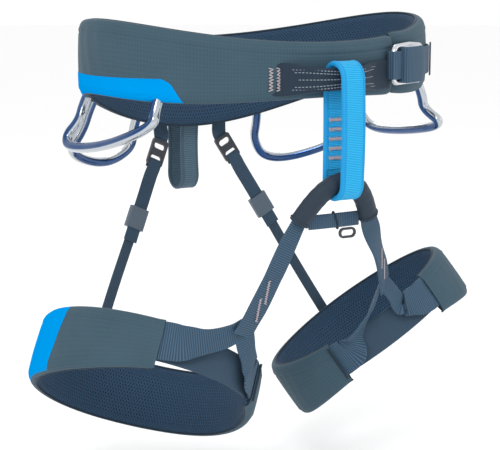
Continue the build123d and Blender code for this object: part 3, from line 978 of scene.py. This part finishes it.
def tie_in_tacks(belt):
    tacks = []
    for side, angle in ((RIGHT, 162.1), (RIGHT, 159.7), (LEFT, 165.6), (LEFT, 163.0)):
        full = angle if side == RIGHT else -angle
        place = belt.at(full, TIE_Z, 0.0)
        lift = 3.6 if side == LEFT else 1.5
        out = belt.out(full)
        base = place + out * lift
        tacks.append(bar_tack("tack", base - UP * 8.0, base + UP * 8.5, out, 3.6, 7, 0.42))
    finish(join("tie_in_tacks", tacks), "waist_belt", "thread", "tie_in_bar_tacks")


def upright_ring(middle, reach, top, bottom, wide, counts, bows):
    """Keys of a closed ring of webbing: over the top, down the back, round below, up the front."""
    arc, run = counts
    down = np.arange(1, run) / run
    rows = []
    for turn in np.radians(np.linspace(0, 180, arc)):
        rows.append((0.0, middle - reach * cos(turn), top + reach * sin(turn)))
    rows += [(0.0, middle + reach + bows[0] * sin(pi * s), top + (bottom - top) * s) for s in down]
    for turn in np.radians(np.linspace(180, 360, arc)):
        rows.append((0.0, middle - reach * cos(turn), bottom + reach * sin(turn)))
    rows += [(0.0, middle - reach + bows[1] * sin(pi * s), bottom + (top - bottom) * s) for s in down]
    across = np.tile((1.0, 0.0, 0.0), (len(rows), 1))
    return np.concatenate([np.array(rows), across, np.full((len(rows), 1), wide)], axis=1)


def build_belay_loop():
    bend, thick = 9.2, 4.0
    keys = upright_ring(TIE_Y, bend + thick / 2, TIE_Z, BELAY_LOW, BELAY_WIDE, (17, 30), (-0.5, -1.2))
    loop = ribbon("belay_loop_webbing", keys, thick - 0.4, "belay", swell=0.35, closed=True, ready=True)
    finish(loop, "belay", "belay_webbing", "belay_loop")

    inner = TIE_Y + bend - 0.3
    lap = [((0, inner, z), (1, 0, 0), BELAY_WIDE - 3.6) for z in (-27.0, -40.0, -56.0, -70.0)]
    finish(ribbon("belay_lap_webbing", lap, 1.3, "belay"), "belay", "belay_webbing")
    half = BELAY_WIDE / 2 - 3.0
    for_loop = []
    for z in (-34.0, -41.0, -48.0, -55.0, -62.0):
        face = inner - 0.75
        for_loop.append(bar_tack(f"tack_{z}", (-half, face, z), (half, face, z), FRONT, 3.2, 9, 0.42))
    finish(join("belay_tack_threads", for_loop), "belay", "thread", "belay_bar_tacks")


# ============================================================ leg bridge
def build_bridge():
    top_x = 17.0
    end = np.array(BRIDGE_END)
    points = [end * (-1, 1, 1), (-top_x, TIE_Y, BELAY_LOW), (top_x, TIE_Y, BELAY_LOW), end]
    route = smooth_line(points)
    lengths = travel(route)
    total = lengths[-1]
    from_end = np.minimum(lengths, total - lengths)
    radius = 7.6 + 0.5 * np.exp(-(from_end / 3.0) ** 2) + 0.18 * np.sin(lengths * 0.9) * np.exp(
        -((lengths - total / 2) / 30.0) ** 2)
    front = np.cross(directions(route), (0, 1, 0))
    sleeve = tube("bridge_sleeve_cloth", route, radius, "sleeve", sides=28, flatten=0.82, across=front[0])
    finish(sleeve, "bridge", "sleeve_fabric", "bridge_sleeve", "bridge_webbing")
    hems = []
    for place, on in ((route[1], route[0] - route[1]), (route[-2], route[-1] - route[-2])):
        on = unit(on)
        side = unit(np.cross(on, (0, 1, 0)))
        out = np.cross(on, side)
        turns = np.arange(36) / 36 * 2 * pi
        ring = [place + 7.9 * (np.cos(t) * side + 0.82 * np.sin(t) * out) for t in turns]
        hems.append(tube("hem", ring, 0.7, "sleeve", sides=8, closed=True, across=on))
    finish(join("bridge_sleeve_hems", hems), "bridge", "sleeve_fabric")

    height = -108.75
    cross = [((x, end[1] - 0.4 * cos(x / 12.0), height), (0, 0, 1), 11.0) for x in np.linspace(-22, 22, 9)]
    finish(ribbon("cross_webbing", cross, 2.0, "webbing"), "bridge", "webbing", "cross_strap")
    wrap = []
    for t in np.arange(40) / 40 * 2 * pi:
        wrap.append((1.2 - 2.0 * sin(t), end[1] + 1.9 * cos(t), height + 6.4 * sin(t)))
    finish(tube("cross_wrap_band", wrap, 0.8, "binding", sides=8, closed=True, across=(1, 0, 0)), "bridge",
           "elastic", "cross_strap_wrap")


# ============================================================ risers at the back
def build_riser(name):
    side, leg, pad = SIDES[name], LEGS[name], leg_pad(name)
    top = joint_place(f"riser_swing_{name}")
    down = joint_axis(f"adjuster_slide_{name}")
    foot = pad.at(leg["riser_at"], 12.0, 4.0)
    length = np.linalg.norm(foot - top)
    rear = unit(np.array((0, 1.0, 0)) - down * down[1])
    across = np.cross(down, rear)

    tab = [((top[0], 100.5, -38), (1, 0, 0), 13.0), ((top[0], 105.9, -47), (1, 0, 0), 13.0),
           ((top[0], 106.9, -58), (1, 0, 0), 13.0), (top + (0, 0.9, 0.5), (1, 0, 0), 13.0),
           (top + down * 4.5 + rear * 1.4, across, 11.0)]
    finish(ribbon(f"riser_tab_webbing_{name}", tab, 2.0, "flat"), "waist_belt", "webbing",
           f"riser_tab_{name}")

    lower_bar = 21.5
    fold = []
    for t, reach in ((26.0, 1.6), (22.5, 1.9), (19.5, 1.2), (18.8, 0.0), (19.5, -1.2), (23.0, -1.9)):
        fold.append((top + down * t + rear * reach, across, 11.0 if t < lower_bar else 12.0))
    fold += [(top + down * t - rear * 0.9, across, 12.5) for t in (32.0, 50.0, 70.0, 91.0)]
    finish(ribbon(f"riser_webbing_{name}", fold, 1.9, "flat", step=1.2), f"riser_{name}", "webbing",
           f"riser_strap_{name}")
    bow = rear * 2.0
    elastic = [(top + down * t + bow * sin(pi * (t - 80.0) / (length - 80.0)), across, 9.5)
               for t in np.linspace(82.0, length - 1.0, 8)]
    finish(ribbon(f"riser_elastic_band_{name}", elastic, 1.6, "elastic"), f"riser_{name}", "elastic",
           f"riser_elastic_{name}")


# ============================================================ haul loop
def build_haul_loop():
    low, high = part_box("haul_loop")
    low, high = np.array(low) / MM, np.array(high) / MM
    thick = 2.4
    reach = (high[1] - low[1]) / 2 - thick / 2
    top, bottom = high[2] - reach - thick / 2, low[2] + reach + thick / 2
    keys = upright_ring((high[1] + low[1]) / 2, reach, top, bottom, high[0] - low[0], (15, 20), (-1.0, 1.5))
    loop = ribbon("haul_loop_webbing", keys, thick - 0.2, "haul", swell=0.15, closed=True, ready=True)
    finish(loop, "haul", "webbing", "haul_loop")


# ============================================================ gear loops
REAR_ENDS = ((115.5, 63.0, -35.0), (59.9, 95.9, -57.0))
FRONT_ENDS = ((126.5, 50.0, -30.0), (120.5, -57.7, -26.0))
GEAR_LOOPS = {
    "right_rear": (RIGHT, REAR_ENDS, 15.0, ((0, 0), (3, 17), (-4, 39), (48, 37), (77, 16), (68, 0))),
    "left_rear": (LEFT, REAR_ENDS, 15.0,
                  ((0, 0), (2, 20), (4, 43), (50, 43), (73, 34), (76, 15), (68, 0))),
    "right_front": (RIGHT, FRONT_ENDS, 25.0,
                    ((0, 0), (3, 13), (-9, 26), (2, 36), (56, 31), (112, 12), (106, 0))),
    "left_front": (LEFT, FRONT_ENDS, 25.0,
                   ((0, 0), (0, 20), (8, 36), (60, 35), (123, 26), (101, 12), (107, 0))),
}


def inside_belt(belt, place):
    """The middle of the belt's padding, just above its lower edge, over a place below it."""
    angle = np.degrees(np.arctan2(-place[0] / BELT_SIZE[0], place[1] / BELT_SIZE[1]))
    if angle < BELT_ENDS[0]:
        angle += 360.0
    return belt.at(angle, belt.outline(angle)[:, 1].min() + 5.0, -BELT_THICK / 2)


def build_gear_loop(name, belt):
    """Moulded tube whose ends go up into the belt's lower edge."""
    side, ends, tilt, outline = GEAR_LOOPS[name]
    first, second = [np.array((side * x, y, z)) for x, y, z in ends]
    along = unit(second - first)
    middle = (first + second) / 2
    outward = unit(np.array((middle[0] / BELT_SIZE[0] ** 2, middle[1] / BELT_SIZE[1] ** 2, 0)))
    hang = outward * sin(radians(tilt)) - UP * cos(radians(tilt))
    hang = unit(hang - along * (hang @ along))
    points = [first + along * x + hang * y for x, y in outline]
    path = smooth_line([inside_belt(belt, first), *points, inside_belt(belt, second)])
    body = f"gear_{name}"
    piece = tube(f"gear_loop_tube_{name}", path, GEAR_RADIUS, "tube", sides=24, across=np.cross(along, UP))
    finish(piece, body, "gear_tube", f"gear_loop_{name}")


# ============================================================ waist buckle and strap
def build_buckle(belt):
    angle = 209.5
    height = joint_place("slider_tilt")[2]
    out = unit(belt.out(angle) * (1, 1, 0))
    centre = belt.at(angle, height) + out * 6.0
    side = np.array((-out[1], out[0], 0.0))

    def on(x, z, n=0.0):
        return centre + side * x + UP * z + out * n

    half_x, half_z, bar = 20.5, 13.0, 2.4
    corners = [(0, half_z), (half_x, half_z), (half_x, -half_z), (-half_x, -half_z), (-half_x, half_z),
               (0, half_z)]
    route = rounded([on(x, z) for x, z in corners], 4.5, 0.8)[:-1]
    bowed = []
    for p in route:
        x, z = (p - centre) @ side, (p - centre) @ UP
        arch = cos(x / half_x * pi / 2) if abs(x) < half_x else 0.0
        bowed.append(p + UP * np.sign(z) * (1.8 if z > 0 else 0.6) * arch * (abs(z) > half_z - 1)
                     + out * 1.0 * arch)
    frame_piece = tube("buckle_frame_metal", bowed, bar, "metal", sides=16, flatten=0.8, closed=True,
                       across=out)
    finish(frame_piece, "waist_belt", "buckle_metal", "buckle_frame")

    def wrap(name, middle, half_wide, half_deep, tall):
        """Webbing wound flat round an upright bar."""
        turns = np.arange(32) / 32 * 2 * pi
        keys = [(*(middle + side * np.clip(cos(t) * 1.5, -1, 1) * half_wide + out * half_deep * sin(t)), *UP,
                 tall) for t in turns]
        return ribbon(name, np.array(keys), 1.7, "webbing", closed=True, ready=True)

    webs = [wrap(f"wrap_{x}", on(x + 2.0, 0.0), wide / 2, 3.1, 21.0)
            for x, wide in ((-half_x + 1.0, 12.0), (half_x - 7.5, 13.0))]
    finish(join("buckle_webbing_wraps", webs), "waist_belt", "webbing")

    low, high = [np.array(corner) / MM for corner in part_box("buckle_slider")]
    wide = (high - low) @ np.abs(side)
    cover = wrap("slider_webbing_wrap", (low + high) / 2, wide / 2 - 1.0, 3.4, high[2] - low[2] - 1.0)
    finish(cover, "slider", "webbing")

    left = [(belt.at(a, height, n), UP, 22.0) for a, n in ((203.5, 3.0), (206.0, 3.6), (212, 4.2),
                                                         (218, 3.6), (222, 2.6))]
    finish(ribbon("buckle_strap_webbing", left, 1.9, "webbing"), "waist_belt", "webbing", "buckle_strap")
    mirrored = belt_surface(LEFT)
    tail = [(mirrored.at(a, height, 2.9), UP, 22.0) for a in np.linspace(138.5, 92.0, 12)]
    finish(ribbon("waist_tail_webbing", tail, 1.9, "webbing"), "waist_belt", "webbing", "waist_strap_tail")
    keeper = [(mirrored.at(a, height, 4.9), UP, 26.0) for a in np.linspace(124.0, 118.0, 5)]
    finish(ribbon("tail_keeper_band", keeper, 1.2, "elastic"), "keeper", "elastic", "tail_keeper")


def dress_hardware():
    """CAD nodes whose shape is right get their material only."""
    for node, obj in frame["nodes"].items():
        if node.startswith(("riser_buckle", "stow_ring")):
            material = "plastic"
        elif node.startswith("riser_adjuster"):
            material = "slate_plastic"
        elif node.startswith("buckle_slider"):
            material = "metal"
        else:
            continue
        obj.data.materials.clear()
        obj.data.materials.append(MATERIALS[material])


add_camera()
add_studio()
add_floor()
belt = belt_pad()
build_belt(belt)
build_tie_in()
tie_in_tacks(belt)
build_belay_loop()
build_bridge()
for side_name in SIDES:
    build_leg(side_name)
    build_riser(side_name)
build_haul_loop()
for loop_name in GEAR_LOOPS:
    build_gear_loop(loop_name, belt)
build_buckle(belt)
dress_hardware()
